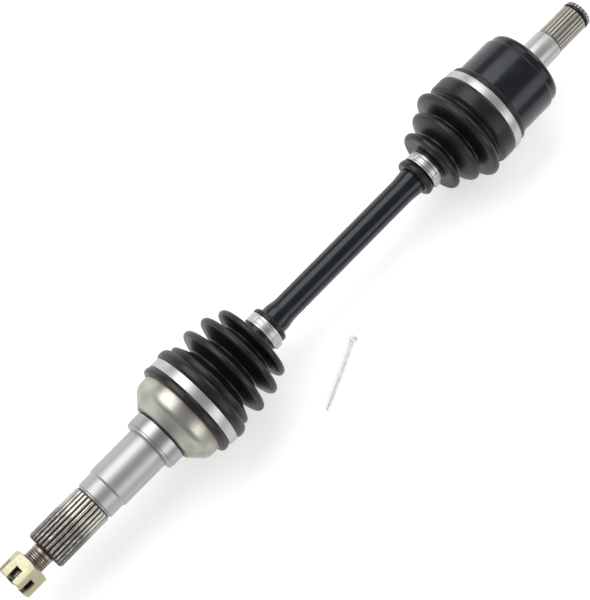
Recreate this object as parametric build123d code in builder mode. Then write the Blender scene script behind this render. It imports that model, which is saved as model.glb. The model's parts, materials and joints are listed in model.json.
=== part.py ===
"""Front drive shaft (cv axle): fixed ball joint at the wheel end, plunging ball joint at the gearbox end.

Millimetres. X runs along the axle from the wheel end to the gearbox end, Z is up.
The origin is on the axle's axis, at the shoulder that the wheel bearing seats against.
"""
from build123d import *
from math import asin, cos, degrees, hypot, radians, sin, sqrt
import os

os.makedirs("parts", exist_ok=True)

# ---- driving dimensions -------------------------------------------------
FLOOR_Z = -41.9

# wheel-end stub, from the stud's tip to the bell
NUT_OUT = -136.0
NUT_IN = -116.6
NUT_AF = 27.0
NUT_SLOTS = 6
NUT_SLOT_WIDTH = 5.8
NUT_SLOT_DEPTH = 10.7
NUT_TURN = 12.0
STUD_TIP = -134.0
STUD_R = 8.95
NUT_BORE_R = 9.0
COTTER_HOLE_R = 1.8
COTTER_HOLE_X = -130.6
STUD_END = -105.1
HUB_SPLINE_START = -104.4
HUB_SPLINE_END = -55.6
HUB_SPLINE_R = 16.2
HUB_SPLINE_TEETH = 28
HUB_SPLINE_DEPTH = 1.5
HUB_GAP_WIDTH = 1.55
LAND_R = 16.35
SEAT_START = -40.7
SEAT_R = 17.5
COLLAR_END = 13.7
COLLAR_R = 22.25
COLLAR_LAND_R = 19.0
COLLAR_BORE_GAP = 0.03
THREAD_CHAMFER = 1.2
NECK_R = 7.75
SPLINE_CHAMFER = 1.6
SEAL_GROOVE_R = 15.2

# fixed joint
FIXED_X = 44.0
FIXED_PITCH_R = 25.5
BALL_R = 7.9375
FIXED_TRACK_CLEAR = 1.15
BELL_R = 36.6
BELL_FULL_X = 27.8
BELL_MOUTH_X = 59.0
BELL_SPHERE_R = 27.7
FIXED_CAGE_R = 27.4
FIXED_CAGE_IN_R = 23.5
FIXED_RACE_R = 23.2
FIXED_CAGE_HALF = 11.0
FIXED_RACE_HALF = 11.5
TRACK_BACK = 38.0
TRACK_ARC = 115.0
WINDOW_CLEAR = 0.4
WINDOW_WIDTH = 18.0
WINDOW_DEPTH = 14.0
RACE_BORE_GAP = 0.02

# plunging joint
PLUNGE_X = 375.0
PLUNGE_PITCH_R = 22.6
PLUNGE_TRACK_CLEAR = 0.45
CUP_R = 33.85
CUP_MOUTH_X = 343.0
CUP_STEP_X = 399.4
CUP_NOSE_R = 32.25
CUP_END_X = 408.0
CUP_FLOOR_X = 401.0
CUP_BORE_R = 25.6
PLUNGE_CAGE_R = 25.2
PLUNGE_CAGE_IN_R = 21.3
PLUNGE_RACE_R = 21.0
PLUNGE_CAGE_HALF = 11.0
PLUNGE_RACE_HALF = 11.5
STOP_RING_X = 347.5
STOP_RING_R = 27.1
STOP_RING_IN_R = 24.7
STOP_RING_WIDTH = 1.5
STOP_GROOVE_HALF = 0.9
STOP_GROOVE_R = 27.3
STUB_R = 12.2
STUB_END = 435.0
GEAR_SPLINE_END = 469.0
GEAR_SPLINE_R = 11.55
GEAR_SPLINE_TEETH = 23
GEAR_SPLINE_DEPTH = 0.95
GEAR_GAP_WIDTH = 1.35
CIRCLIP_X = 464.5
CIRCLIP_GROOVE_R = 10.2
CIRCLIP_R = 11.85
CIRCLIP_GROOVE_WIDTH = 1.6
GROOVE_FLOOR_GAP = 2.5

# bar
BAR_R = 10.2
CLIP_GROOVE_R = 8.9
BAR_SPLINE_R = 9.6
BAR_END_L = 29.6
BAR_END_R = 389.2
CLIP_GROOVE_WIDTH = 1.6
CLIP_WIDTH = 1.4
CLIP_R = 11.2
BAR_COLLAR_L_R = 11.5
BAR_COLLAR_R_R = 11.2

# boots; each fold is (x, radius at the extreme, fillet), with a valley's fillet negative
BOOT_WALL = 1.8
BOOT_GAP = 0.1
OUT_SEAT_R = 39.3
OUT_NECK_R = 14.2
OUT_LIP_X = 35.8
OUT_NECK_X = 128.4
OUT_FOLDS = [
    (59.9, 37.0, 0), (62.8, 37.85, 2.4), (70.3, 27.2, -1.4), (77.8, 39.7, 3.0), (85.9, 23.4, -1.4),
    (93.6, 37.55, 3.0), (101.4, 21.6, -1.4), (106.9, 32.45, 2.8), (111.6, OUT_NECK_R, -1.2),
    (113.2, OUT_NECK_R, 0),
]
IN_SEAT_R = 36.3
IN_NECK_R = 13.9
IN_NECK_X = 281.0
IN_LIP_X = 365.9
IN_FOLDS = [
    (296.2, IN_NECK_R, 0), (297.6, IN_NECK_R, -1.2), (302.0, 27.0, 3.0), (308.2, 20.6, -1.4),
    (317.7, 33.1, 3.2), (323.6, 25.4, -1.4), (331.1, 40.4, 3.4), (338.4, 34.4, -1.0),
    (341.6, 37.6, 0),
]

# split pin
PIN_R = 1.5
PIN_GAP = 0.08
PIN_EYE_R = 1.8
PIN_NECK_R = 2.6
PIN_LONG = 54.0
PIN_SHORT = 50.0
PIN_EYE_X = 171.3
PIN_EYE_Y = -53.0
PIN_TURN = 24.0


def tangent_outline(nodes, inset=0.0):
    """Points where straight flanks touch the rounded crests and valleys of a bellows.

    Each node is (x, radius at the extreme, fillet); a crest's fillet is positive and a valley's
    negative. An inset moves the whole outline inwards by that wall thickness.
    """
    circles = [(x, r - f, f - inset) for x, r, f in nodes]
    touches = []
    for (xa, ya, fa), (xb, yb, fb) in zip(circles, circles[1:]):
        gap = hypot(xb - xa, yb - ya)
        ex, ey = (xb - xa) / gap, (yb - ya) / gap
        lean = (fa - fb) / gap
        rise = sqrt(1 - lean * lean)
        nx, ny = lean * ex - rise * ey, lean * ey + rise * ex
        touches.append(((xa + fa * nx, ya + fa * ny), (xb + fb * nx, yb + fb * ny), (nx, ny)))
    return circles, touches


def draw_outline(nodes, inset=0.0):
    """Draw the flanks and rounded crests of tangent_outline in the current line context."""
    circles, touches = tangent_outline(nodes, inset)
    for i, (start, end, normal) in enumerate(touches):
        Line(start, end)
        if i + 1 < len(touches):
            following = touches[i + 1]
            mx, my = normal[0] + following[2][0], normal[1] + following[2][1]
            size = hypot(mx, my)
            cx, cy, fillet_r = circles[i + 1]
            middle = (cx + fillet_r * mx / size, cy + fillet_r * my / size)
            ThreePointArc(end, middle, following[0])
    return touches[0][0], touches[-1][1]


def ball_centre(x, pitch_r, angle):
    """Centre of a ball at an angle round the axis, measured from +Z towards -Y."""
    return (x, -pitch_r * sin(radians(angle)), pitch_r * cos(radians(angle)))


FIXED_ANGLES = [60 * k for k in range(6)]
PLUNGE_ANGLES = [60 * k + 30 for k in range(6)]

# ---- wheel end ----------------------------------------------------------

# cutters for the curved ball tracks, at the top of each joint
with BuildPart() as fixed_track:
    place = Plane((FIXED_X, 0, 0), x_dir=(0, 0, 1), z_dir=(1, 0, 0)).rotated((0, -TRACK_BACK, 0))
    with BuildSketch(place):
        with Locations((FIXED_PITCH_R, 0)):
            Circle(BALL_R + FIXED_TRACK_CLEAR)
    revolve(axis=Axis(place.origin, -place.y_dir), revolution_arc=TRACK_ARC)

with BuildPart() as plunge_track:
    place = Plane((PLUNGE_X, 0, 0), x_dir=(0, 0, 1), z_dir=(1, 0, 0)).rotated((0, -TRACK_BACK, 0))
    with BuildSketch(place):
        with Locations((PLUNGE_PITCH_R, 0)):
            Circle(BALL_R + PLUNGE_TRACK_CLEAR)
    revolve(axis=Axis(place.origin, -place.y_dir), revolution_arc=2 * TRACK_BACK)

# outboard_housing: stub, spline, seats and the bell of the fixed joint, one forging
with BuildPart() as outboard_housing:
    with BuildSketch(Plane.XZ):
        with BuildLine():
            Polyline(
                (STUD_TIP, 0), (STUD_TIP, STUD_R - THREAD_CHAMFER), (STUD_TIP + THREAD_CHAMFER, STUD_R),
                (STUD_END, STUD_R), (STUD_END, NECK_R), (HUB_SPLINE_START, NECK_R),
                (HUB_SPLINE_START, HUB_SPLINE_R - SPLINE_CHAMFER),
                (HUB_SPLINE_START + SPLINE_CHAMFER, HUB_SPLINE_R),
                (HUB_SPLINE_END, HUB_SPLINE_R), (HUB_SPLINE_END, SEAL_GROOVE_R),
                (HUB_SPLINE_END + 1.2, SEAL_GROOVE_R), (HUB_SPLINE_END + 1.6, LAND_R),
                (SEAT_START - 1.2, LAND_R), (SEAT_START, SEAT_R), (0, SEAT_R),
                (0, COLLAR_LAND_R), (COLLAR_END, COLLAR_LAND_R), (COLLAR_END, 24.0),
                (14.3, 24.9), (23.5, 35.0), (25.4, 36.2), (BELL_FULL_X, BELL_R),
                (BELL_MOUTH_X - 0.6, BELL_R), (BELL_MOUTH_X, BELL_R - 0.6), (BELL_MOUTH_X, 0),
                close=True,
            )
        make_face()
    revolve(axis=Axis.X)
    # ball cavity, flared at its mouth so the bar can swing
    with Locations((FIXED_X, 0, 0)):
        Sphere(BELL_SPHERE_R, mode=Mode.SUBTRACT)
    with BuildSketch(Plane.XZ):
        with BuildLine():
            Polyline(
                (FIXED_X + 2, 0), (FIXED_X + 2, 27.0), (FIXED_X + 7, 27.4),
                (BELL_MOUTH_X + 1, 30.6), (BELL_MOUTH_X + 1, 0), close=True,
            )
        make_face()
    revolve(axis=Axis.X, mode=Mode.SUBTRACT)
    # six ball tracks that follow meridians of the joint's sphere
    for angle in FIXED_ANGLES:
        add(fixed_track.part, rotation=(angle, 0, 0), mode=Mode.SUBTRACT)
    # gaps between the spline teeth
    with BuildSketch(Plane.YZ.offset(HUB_SPLINE_START - 0.1)):
        with PolarLocations(HUB_SPLINE_R, HUB_SPLINE_TEETH):
            Rectangle(2 * HUB_SPLINE_DEPTH, HUB_GAP_WIDTH)
    extrude(amount=HUB_SPLINE_END - HUB_SPLINE_START + 0.1, mode=Mode.SUBTRACT)
    # hole for the split pin, in line with one pair of nut slots
    with Locations(Location((COTTER_HOLE_X, 0, 0), (NUT_TURN - 90, 0, 0))):
        Cylinder(COTTER_HOLE_R, 3 * STUD_R, mode=Mode.SUBTRACT)
outboard_housing.part.label = "outboard_housing"
export_step(outboard_housing.part, "parts/outboard_housing.step")

# seal_collar: ring pressed on the land behind the bearing seat
collar_bore_r = COLLAR_LAND_R + COLLAR_BORE_GAP
with BuildPart() as seal_collar:
    with BuildSketch(Plane.XZ):
        with BuildLine():
            Polyline(
                (0, collar_bore_r), (0, COLLAR_R - 1.4), (0.5, COLLAR_R - 0.5), (1.6, COLLAR_R),
                (COLLAR_END - 0.9, COLLAR_R), (COLLAR_END - 0.4, COLLAR_R - 0.5),
                (COLLAR_END - 0.4, collar_bore_r), close=True,
            )
        make_face()
    revolve(axis=Axis.X)
seal_collar.part.label = "seal_collar"
export_step(seal_collar.part, "parts/seal_collar.step")

# castle_nut: hexagon with six slots from its outer face
with BuildPart() as castle_nut:
    with BuildSketch(Plane.YZ.offset(NUT_OUT)):
        RegularPolygon(NUT_AF / 2, 6, major_radius=False, rotation=NUT_TURN - 30)
        Circle(NUT_BORE_R, mode=Mode.SUBTRACT)
    extrude(amount=NUT_IN - NUT_OUT)
    with BuildSketch(Plane.XZ):
        with BuildLine():
            Polyline(
                (NUT_OUT, 0), (NUT_OUT, NUT_AF / 2 - 0.4), (NUT_OUT + 1.6, NUT_AF / 2 + 2.4),
                (NUT_IN - 1.6, NUT_AF / 2 + 2.4), (NUT_IN, NUT_AF / 2 - 0.4), (NUT_IN, 0), close=True,
            )
        make_face()
    revolve(axis=Axis.X, mode=Mode.INTERSECT)
    with BuildSketch(Plane.YZ.offset(NUT_OUT)):
        with PolarLocations(NUT_AF / 2, NUT_SLOTS, start_angle=NUT_TURN):
            Rectangle(NUT_AF / 2, NUT_SLOT_WIDTH)
    extrude(amount=NUT_SLOT_DEPTH, mode=Mode.SUBTRACT)
castle_nut.part.label = "castle_nut"
export_step(castle_nut.part, "parts/castle_nut.step")

# outboard_inner_race: ball-shaped race on the end of the bar
with BuildPart() as outboard_inner_race:
    with Locations((FIXED_X, 0, 0)):
        Sphere(FIXED_RACE_R)
        Box(2 * FIXED_RACE_HALF, 60, 60, mode=Mode.INTERSECT)
    for angle in FIXED_ANGLES:
        add(fixed_track.part, rotation=(angle, 0, 0), mode=Mode.SUBTRACT)
    with Locations(Location((FIXED_X, 0, 0), (0, 90, 0))):
        Cylinder(BAR_SPLINE_R + RACE_BORE_GAP, 60, mode=Mode.SUBTRACT)
outboard_inner_race.part.label = "outboard_inner_race"
export_step(outboard_inner_race.part, "parts/outboard_inner_race.step")

# outboard_cage: spherical ring with a window for each ball
with BuildPart() as outboard_cage:
    with Locations((FIXED_X, 0, 0)):
        Sphere(FIXED_CAGE_R)
        Box(2 * FIXED_CAGE_HALF, 60, 60, mode=Mode.INTERSECT)
        Sphere(FIXED_CAGE_IN_R, mode=Mode.SUBTRACT)
    for angle in FIXED_ANGLES:
        with Locations(Location(ball_centre(FIXED_X, FIXED_PITCH_R, angle), (angle, 0, 0))):
            Box(2 * BALL_R + WINDOW_CLEAR, WINDOW_WIDTH, WINDOW_DEPTH, mode=Mode.SUBTRACT)
outboard_cage.part.label = "outboard_cage"
export_step(outboard_cage.part, "parts/outboard_cage.step")

# ---- gearbox end --------------------------------------------------------

# inboard_housing: cup with straight ball grooves, seal journal and splined stub
with BuildPart() as inboard_housing:
    with BuildSketch(Plane.XZ):
        with BuildLine():
            Polyline(
                (CUP_MOUTH_X, 0), (CUP_MOUTH_X, CUP_R - 0.6), (CUP_MOUTH_X + 0.6, CUP_R),
                (CUP_STEP_X, CUP_R), (CUP_STEP_X, CUP_NOSE_R), (CUP_END_X - 2.5, CUP_NOSE_R),
                (CUP_END_X - 0.8, CUP_NOSE_R - 1.0), (CUP_END_X, CUP_NOSE_R - 3.0),
                (CUP_END_X, STUB_R), (STUB_END - 1.6, STUB_R), (STUB_END, GEAR_SPLINE_R),
                (GEAR_SPLINE_END - 1.5, GEAR_SPLINE_R), (GEAR_SPLINE_END, GEAR_SPLINE_R - 1.5),
                (GEAR_SPLINE_END, 0), close=True,
            )
        make_face()
    revolve(axis=Axis.X)
    # bore with a chamfered mouth, a groove for the stop ring and a dished floor
    with BuildSketch(Plane.XZ):
        with BuildLine():
            Polyline(
                (CUP_MOUTH_X, 0), (CUP_MOUTH_X, CUP_BORE_R + 2.6), (CUP_MOUTH_X + 2.6, CUP_BORE_R),
                (STOP_RING_X - STOP_GROOVE_HALF, CUP_BORE_R),
                (STOP_RING_X - STOP_GROOVE_HALF, STOP_GROOVE_R),
                (STOP_RING_X + STOP_GROOVE_HALF, STOP_GROOVE_R),
                (STOP_RING_X + STOP_GROOVE_HALF, CUP_BORE_R),
                (CUP_FLOOR_X - 5, CUP_BORE_R), (CUP_FLOOR_X, 20), (CUP_FLOOR_X, 0), close=True,
            )
        make_face()
    revolve(axis=Axis.X, mode=Mode.SUBTRACT)
    with BuildSketch(Plane.YZ.offset(CUP_MOUTH_X)):
        for angle in PLUNGE_ANGLES:
            with Locations(ball_centre(0, PLUNGE_PITCH_R, angle)[1:]):
                Circle(BALL_R + PLUNGE_TRACK_CLEAR)
    extrude(amount=CUP_FLOOR_X - GROOVE_FLOOR_GAP - CUP_MOUTH_X, mode=Mode.SUBTRACT)
    with BuildSketch(Plane.YZ.offset(STUB_END + 1.5)):
        with PolarLocations(GEAR_SPLINE_R, GEAR_SPLINE_TEETH):
            Rectangle(2 * GEAR_SPLINE_DEPTH, GEAR_GAP_WIDTH)
    extrude(amount=GEAR_SPLINE_END - STUB_END, mode=Mode.SUBTRACT)
    with BuildSketch(Plane.YZ.offset(CIRCLIP_X - CIRCLIP_GROOVE_WIDTH / 2)):
        Circle(GEAR_SPLINE_R + 1)
        Circle(CIRCLIP_GROOVE_R, mode=Mode.SUBTRACT)
    extrude(amount=CIRCLIP_GROOVE_WIDTH, mode=Mode.SUBTRACT)
inboard_housing.part.label = "inboard_housing"
export_step(inboard_housing.part, "parts/inboard_housing.step")

# inboard_inner_race
with BuildPart() as inboard_inner_race:
    with Locations((PLUNGE_X, 0, 0)):
        Sphere(PLUNGE_RACE_R)
        Box(2 * PLUNGE_RACE_HALF, 60, 60, mode=Mode.INTERSECT)
    for angle in PLUNGE_ANGLES:
        add(plunge_track.part, rotation=(angle, 0, 0), mode=Mode.SUBTRACT)
    with Locations(Location((PLUNGE_X, 0, 0), (0, 90, 0))):
        Cylinder(BAR_SPLINE_R + RACE_BORE_GAP, 60, mode=Mode.SUBTRACT)
inboard_inner_race.part.label = "inboard_inner_race"
export_step(inboard_inner_race.part, "parts/inboard_inner_race.step")

# inboard_cage
with BuildPart() as inboard_cage:
    with Locations((PLUNGE_X, 0, 0)):
        Sphere(PLUNGE_CAGE_R)
        Box(2 * PLUNGE_CAGE_HALF, 60, 60, mode=Mode.INTERSECT)
        Sphere(PLUNGE_CAGE_IN_R, mode=Mode.SUBTRACT)
    for angle in PLUNGE_ANGLES:
        with Locations(Location(ball_centre(PLUNGE_X, PLUNGE_PITCH_R, angle), (angle, 0, 0))):
            Box(2 * BALL_R + WINDOW_CLEAR, WINDOW_WIDTH, WINDOW_DEPTH, mode=Mode.SUBTRACT)
inboard_cage.part.label = "inboard_cage"
export_step(inboard_cage.part, "parts/inboard_cage.step")

# balls of both joints
for joint_name, joint_x, pitch_r, angles in (
    ("outboard", FIXED_X, FIXED_PITCH_R, FIXED_ANGLES),
    ("inboard", PLUNGE_X, PLUNGE_PITCH_R, PLUNGE_ANGLES),
):
    for number, angle in enumerate(angles, 1):
        with BuildPart() as ball:
            with Locations(ball_centre(joint_x, pitch_r, angle)):
                Sphere(BALL_R)
        ball.part.label = f"{joint_name}_ball_{number}"
        export_step(ball.part, f"parts/{joint_name}_ball_{number}.step")

# snap rings: one keeps each inner race on the bar, one stops the balls in the cup, one holds the
# splined stub in the gearbox; each is open by a gap
for ring_name, ring_x, ring_out, ring_in, ring_width, gap_turn in (
    ("outboard_race_circlip", FIXED_X - FIXED_RACE_HALF - 0.9, CLIP_R, CLIP_GROOVE_R + 0.1, CLIP_WIDTH, 0),
    ("inboard_race_circlip", PLUNGE_X + PLUNGE_RACE_HALF + 0.9, CLIP_R, CLIP_GROOVE_R + 0.1, CLIP_WIDTH, 0),
    ("inboard_stop_ring", STOP_RING_X, STOP_RING_R, STOP_RING_IN_R, STOP_RING_WIDTH, 90),
    ("gearbox_circlip", CIRCLIP_X, CIRCLIP_R, CIRCLIP_GROOVE_R + 0.15, CLIP_WIDTH, 200),
):
    with BuildPart() as snap_ring:
        with BuildSketch(Plane.YZ.offset(ring_x - ring_width / 2)):
            Circle(ring_out)
            Circle(ring_in, mode=Mode.SUBTRACT)
            with PolarLocations(ring_out, 1, start_angle=gap_turn):
                Rectangle(10, 4, mode=Mode.SUBTRACT)
        extrude(amount=ring_width)
    snap_ring.part.label = ring_name
    export_step(snap_ring.part, f"parts/{ring_name}.step")

# ---- bar ----------------------------------------------------------------

# faces of the two inner races, where the snap ring grooves begin
clip_l = FIXED_X - FIXED_RACE_HALF - 0.1
clip_r = PLUNGE_X + PLUNGE_RACE_HALF + 0.1
with BuildPart() as bar:
    with BuildSketch(Plane.XZ):
        with BuildLine():
            Polyline(
                (BAR_END_L, 0), (BAR_END_L, BAR_SPLINE_R - 0.9), (BAR_END_L + 0.8, BAR_SPLINE_R - 0.1),
                (clip_l - CLIP_GROOVE_WIDTH, BAR_SPLINE_R - 0.1),
                (clip_l - CLIP_GROOVE_WIDTH, CLIP_GROOVE_R), (clip_l, CLIP_GROOVE_R),
                (clip_l, BAR_SPLINE_R), (FIXED_X + FIXED_RACE_HALF, BAR_SPLINE_R),
                (FIXED_X + FIXED_RACE_HALF + 0.6, BAR_R), (106, BAR_R), (109, BAR_COLLAR_L_R),
                (135.5, BAR_COLLAR_L_R), (140.8, BAR_R), (269.4, BAR_R), (278.7, BAR_COLLAR_R_R),
                (299, BAR_COLLAR_R_R), (302, BAR_R), (PLUNGE_X - PLUNGE_RACE_HALF - 0.6, BAR_R),
                (PLUNGE_X - PLUNGE_RACE_HALF, BAR_SPLINE_R), (clip_r, BAR_SPLINE_R),
                (clip_r, CLIP_GROOVE_R), (clip_r + CLIP_GROOVE_WIDTH, CLIP_GROOVE_R),
                (clip_r + CLIP_GROOVE_WIDTH, BAR_SPLINE_R - 0.1), (BAR_END_R - 0.6, BAR_SPLINE_R - 0.1),
                (BAR_END_R, BAR_SPLINE_R - 0.7), (BAR_END_R, 0), close=True,
            )
        make_face()
    revolve(axis=Axis.X)
bar.part.label = "bar"
export_step(bar.part, "parts/bar.step")

# ---- boots and clamps ---------------------------------------------------

# outboard_boot: lip and clamp seat on the bell, three ribs and a shoulder, neck on the bar
with BuildPart() as outboard_boot:
    with BuildSketch(Plane.XZ):
        with BuildLine():
            first, last = draw_outline(OUT_FOLDS)
            Polyline(
                last, (124.2, OUT_NECK_R), (124.4, 15.3), (127.3, 15.3), (OUT_NECK_X, 14.2),
                (OUT_NECK_X, 0), (OUT_LIP_X, 0), (OUT_LIP_X, 39.9), (37.4, 40.9), (40.4, 40.9),
                (42.0, 40.3), (42.2, OUT_SEAT_R), (50.1, OUT_SEAT_R), (50.2, 40.6), (52.6, -FLOOR_Z),
                (55.4, -FLOOR_Z), (57.6, 41.3), (59.6, 39.6), first,
            )
        make_face()
    revolve(axis=Axis.X)
    with BuildSketch(Plane.XZ):
        with BuildLine():
            first, last = draw_outline(OUT_FOLDS, BOOT_WALL)
            Polyline(
                last, (113.6, BAR_COLLAR_L_R + BOOT_GAP), (OUT_NECK_X + 1, BAR_COLLAR_L_R + BOOT_GAP),
                (OUT_NECK_X + 1, 0), (OUT_LIP_X - 1, 0), (OUT_LIP_X - 1, BELL_R),
                (BELL_MOUTH_X, BELL_R), (BELL_MOUTH_X + 0.6, BELL_R - 0.6), first,
            )
        make_face()
    revolve(axis=Axis.X, mode=Mode.SUBTRACT)
outboard_boot.part.label = "outboard_boot"
export_step(outboard_boot.part, "parts/outboard_boot.step")

# inboard_boot: neck on the bar, three growing ribs, cuff and lip on the cup
with BuildPart() as inboard_boot:
    with BuildSketch(Plane.XZ):
        with BuildLine():
            first, last = draw_outline(IN_FOLDS)
            Polyline(
                last, (342.6, 38.05), (352.6, 38.05), (353.8, 37.3), (353.9, IN_SEAT_R),
                (365.2, IN_SEAT_R), (IN_LIP_X, IN_SEAT_R - 0.7), (IN_LIP_X, 0), (IN_NECK_X, 0),
                (IN_NECK_X, 14.4), (282.2, 15.9), (284.2, 16.05), (286.6, 15.4), (287.8, IN_NECK_R), first,
            )
        make_face()
    revolve(axis=Axis.X)
    with BuildSketch(Plane.XZ):
        with BuildLine():
            first, last = draw_outline(IN_FOLDS, BOOT_WALL)
            Polyline(
                last, (CUP_MOUTH_X - 0.6, CUP_R - 0.8), (CUP_MOUTH_X, CUP_R), (IN_LIP_X + 1, CUP_R),
                (IN_LIP_X + 1, 0), (IN_NECK_X - 1, 0), (IN_NECK_X - 1, BAR_COLLAR_R_R + BOOT_GAP),
                (296.0, BAR_COLLAR_R_R + BOOT_GAP), first,
            )
        make_face()
    revolve(axis=Axis.X, mode=Mode.SUBTRACT)
inboard_boot.part.label = "inboard_boot"
export_step(inboard_boot.part, "parts/inboard_boot.step")

# boot clamps: bands with an ear on the -Y side
for clamp_name, start, end, seat_r, band_r, ear_height, ear_width in (
    ("outboard_large_clamp", 42.3, 50.0, OUT_SEAT_R, 40.35, 0.9, 6.0),
    ("outboard_small_clamp", 115.8, 124.0, OUT_NECK_R + 0.1, 15.0, 1.9, 5.0),
    ("inboard_small_clamp", 288.2, 296.2, IN_NECK_R + 0.1, 15.0, 1.6, 5.0),
    ("inboard_large_clamp", 354.0, 360.7, IN_SEAT_R, 37.35, 0.9, 6.0),
):
    with BuildPart() as clamp:
        with BuildSketch(Plane.YZ.offset(start)):
            Circle(band_r)
            Circle(seat_r, mode=Mode.SUBTRACT)
        extrude(amount=end - start)
        with BuildSketch(Plane.YZ.offset(start + 1)):
            with Locations((-band_r, 0)):
                Rectangle(2 * ear_height, ear_width)
            Circle(seat_r, mode=Mode.SUBTRACT)
        extrude(amount=end - start - 2)
    clamp.part.label = clamp_name
    export_step(clamp.part, f"parts/{clamp_name}.step")

# ---- split pin, lying beside the axle -----------------------------------

# cotter_pin: half-round wire folded back on itself, with an eye at the fold
eye_gap = PIN_EYE_R + PIN_NECK_R
eye_reach = sqrt(eye_gap**2 - (PIN_GAP + PIN_NECK_R) ** 2)
neck_turn = degrees(asin(eye_reach / eye_gap))
pin_plane = Plane(
    (PIN_EYE_X, PIN_EYE_Y, FLOOR_Z + PIN_R + 0.02),
    x_dir=(cos(radians(PIN_TURN)), sin(radians(PIN_TURN)), 0),
)
with BuildPart() as cotter_pin:
    with BuildLine(pin_plane) as wire:
        long_leg = Line((-eye_reach - PIN_LONG, PIN_GAP), (-eye_reach, PIN_GAP))
        neck_out = JernArc((-eye_reach, PIN_GAP), (1, 0), PIN_NECK_R, neck_turn)
        eye = JernArc(neck_out @ 1, neck_out % 1, PIN_EYE_R, -(180 + 2 * neck_turn))
        neck_back = JernArc(eye @ 1, eye % 1, PIN_NECK_R, neck_turn)
        short_leg = Line((-eye_reach, -PIN_GAP), (-eye_reach - PIN_SHORT, -PIN_GAP))
    with BuildSketch(Plane(long_leg @ 0, x_dir=pin_plane.y_dir, z_dir=pin_plane.x_dir)):
        Circle(PIN_R)
        with Locations((-PIN_R, 0)):
            Rectangle(2 * PIN_R, 2 * PIN_R, mode=Mode.SUBTRACT)
    sweep(path=wire.line)
cotter_pin.part.label = "cotter_pin"
export_step(cotter_pin.part, "parts/cotter_pin.step")
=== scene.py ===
"""Front drive shaft (cv axle): its visible pieces and finishes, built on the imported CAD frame.

Sizes are in millimetres unless a name says otherwise; MM turns them into metres.
"""

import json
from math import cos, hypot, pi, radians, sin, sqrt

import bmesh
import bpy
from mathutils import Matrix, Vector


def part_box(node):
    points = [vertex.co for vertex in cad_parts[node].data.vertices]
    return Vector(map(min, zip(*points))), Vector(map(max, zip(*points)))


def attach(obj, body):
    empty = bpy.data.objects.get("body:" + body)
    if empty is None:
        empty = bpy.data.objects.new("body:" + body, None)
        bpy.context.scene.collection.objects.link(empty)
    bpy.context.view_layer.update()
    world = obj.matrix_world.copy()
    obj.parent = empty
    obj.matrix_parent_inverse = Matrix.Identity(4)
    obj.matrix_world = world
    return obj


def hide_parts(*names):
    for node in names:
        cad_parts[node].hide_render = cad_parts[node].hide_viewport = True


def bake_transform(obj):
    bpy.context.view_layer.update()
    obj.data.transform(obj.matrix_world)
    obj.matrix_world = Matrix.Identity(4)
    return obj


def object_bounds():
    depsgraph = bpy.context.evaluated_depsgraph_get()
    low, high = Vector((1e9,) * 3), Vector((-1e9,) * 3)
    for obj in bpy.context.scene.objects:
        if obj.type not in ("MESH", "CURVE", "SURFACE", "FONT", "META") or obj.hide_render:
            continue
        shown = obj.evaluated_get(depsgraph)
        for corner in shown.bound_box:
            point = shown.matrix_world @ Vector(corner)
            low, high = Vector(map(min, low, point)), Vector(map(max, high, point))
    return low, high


bl_info = {
    "name": "Drive Shaft Dresser",
    "version": (1, 0, 0),
    "blender": (4, 5, 0),
    "location": "View3D > Sidebar > Drive Shaft",
    "description": "Builds the visible pieces and finishes of a jointed drive shaft",
    "category": "Object",
}

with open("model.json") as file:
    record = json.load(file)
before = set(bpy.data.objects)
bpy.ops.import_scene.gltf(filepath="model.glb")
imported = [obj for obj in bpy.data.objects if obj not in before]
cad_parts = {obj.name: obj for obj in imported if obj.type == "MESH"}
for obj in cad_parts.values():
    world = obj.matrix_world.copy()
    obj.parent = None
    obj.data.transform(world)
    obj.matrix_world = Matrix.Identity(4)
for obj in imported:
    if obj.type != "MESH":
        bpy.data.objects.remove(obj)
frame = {"nodes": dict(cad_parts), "record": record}

CAD_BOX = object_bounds()
MM = 0.001
AROUND = 160             # columns of a turned piece

# the six balls of each joint
BALLS = 6
OUT_CENTRE_X = 44.0      # centre of the fixed joint
OUT_CAVITY_R = 27.7
OUT_PITCH_R = 25.5
OUT_TRACK_R = 9.09
IN_PITCH_R = 22.6
IN_TRACK_R = 8.39

# wheel stub, from the nut inwards
STUD_R = 8.1
STUD_LAND_R = 8.75
STUD_RELIEF_R = 7.75
STUD_END_X = -108.2
PIN_HOLE_X = -130.6
PIN_HOLE_R = 1.8
PIN_HOLE_TURN = 12       # degrees about the axle
HUB_SPLINE_X = (-104.4, -55.6)
HUB_TIP_R = 16.2
HUB_RELIEF_R = 15.1
HUB_STEP_R = 16.35
SEAT_START_X = -40.7
SEAT_R = 17.5
COLLAR_LAND_R = 19.0
BELL_START_X = 13.6
BELL_SHOULDER_X = 27.0
BELL_FACE_X = 59.0
BELL_NOSE_R = 36.0

# bar
BAR_R = 10.2
BAR_SPLINE_R = 9.5
RING_GROOVE_R = 8.9
OUT_COLLAR_R = 11.5
IN_COLLAR_R = 11.2

# cup and gearbox stub
CUP_EDGE_X = 398.6
CUP_STEP_R = 32.25
CUP_BACK_X = 408.0
CUP_BORE_R = 25.6
STOP_GROOVE_X = (346.6, 348.4)
STOP_GROOVE_R = 27.3
JOURNAL_R = 12.2
GEAR_SPLINE_START_X = 435.0
GEAR_ROOT_R = 10.62
GEAR_TIP_R = 11.55
CIRCLIP_GROOVE_X = (463.7, 465.3)
CIRCLIP_GROOVE_R = 10.2


def low_high(node):
    """A node's span along the axle and its largest radius, in millimetres."""
    low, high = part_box(node)
    return low[0] / MM, high[0] / MM, high[2] / MM


# ---- sizes and colours --------------------------------------------------

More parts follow.
